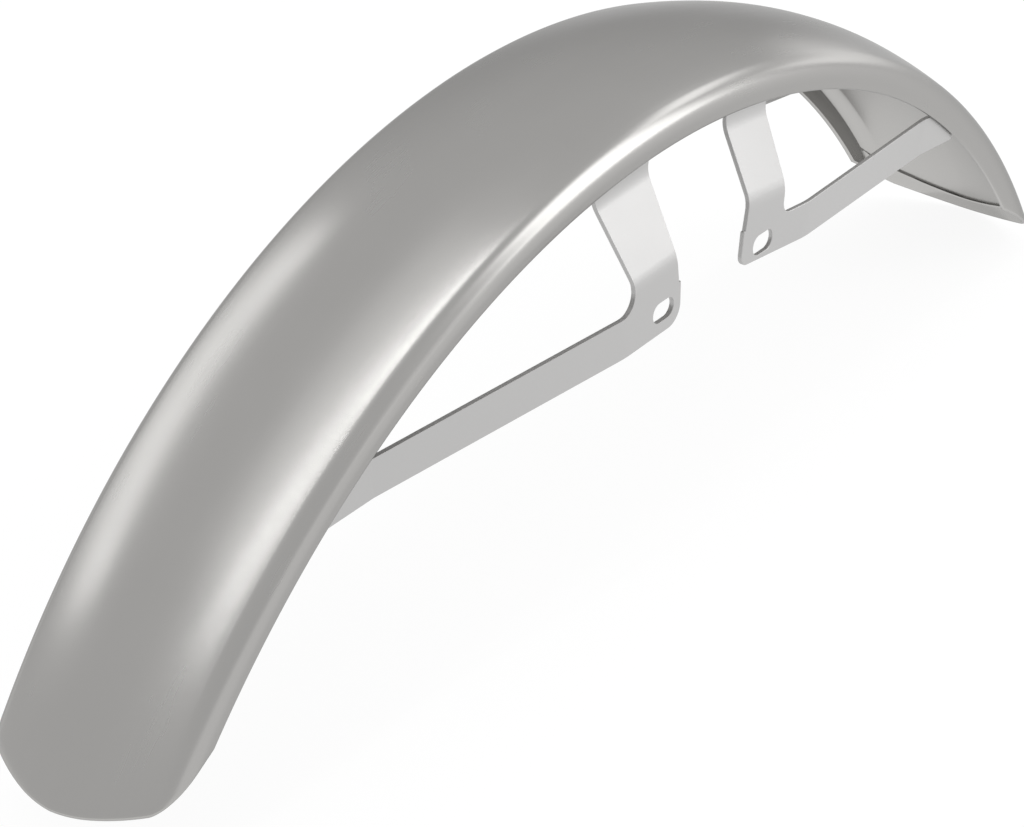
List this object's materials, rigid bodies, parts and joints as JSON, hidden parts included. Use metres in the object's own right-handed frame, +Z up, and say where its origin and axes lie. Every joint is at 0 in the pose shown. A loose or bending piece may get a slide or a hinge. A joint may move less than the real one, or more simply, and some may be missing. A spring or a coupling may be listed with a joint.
{
  "type": "motorcycle front mudguard",
  "caption": "Front mudguard for a motorcycle: an arched bare steel shell with folded hems, carried on V-shaped strap brackets whose slotted tabs bolt to the fork legs.",
  "frame": {"origin": "under the middle of the length and of the width, level with the rear end, which hangs lowest", "axes": "+X forward to the front tip, +Y to the rider's left, +Z up, with the line of the slotted holes level"},
  "size_m": [0.6372, 0.114, 0.1956],
  "materials": {
    "shell_steel": "satin",
    "bracket_steel": "satin"
  },
  "bodies": {
    "root": {"shell": "shell_steel", "bracket_front_left": "bracket_steel", "bracket_front_right": "bracket_steel", "bracket_rear_left": "bracket_steel", "bracket_rear_right": "bracket_steel"}
  },
  "joints": []
}
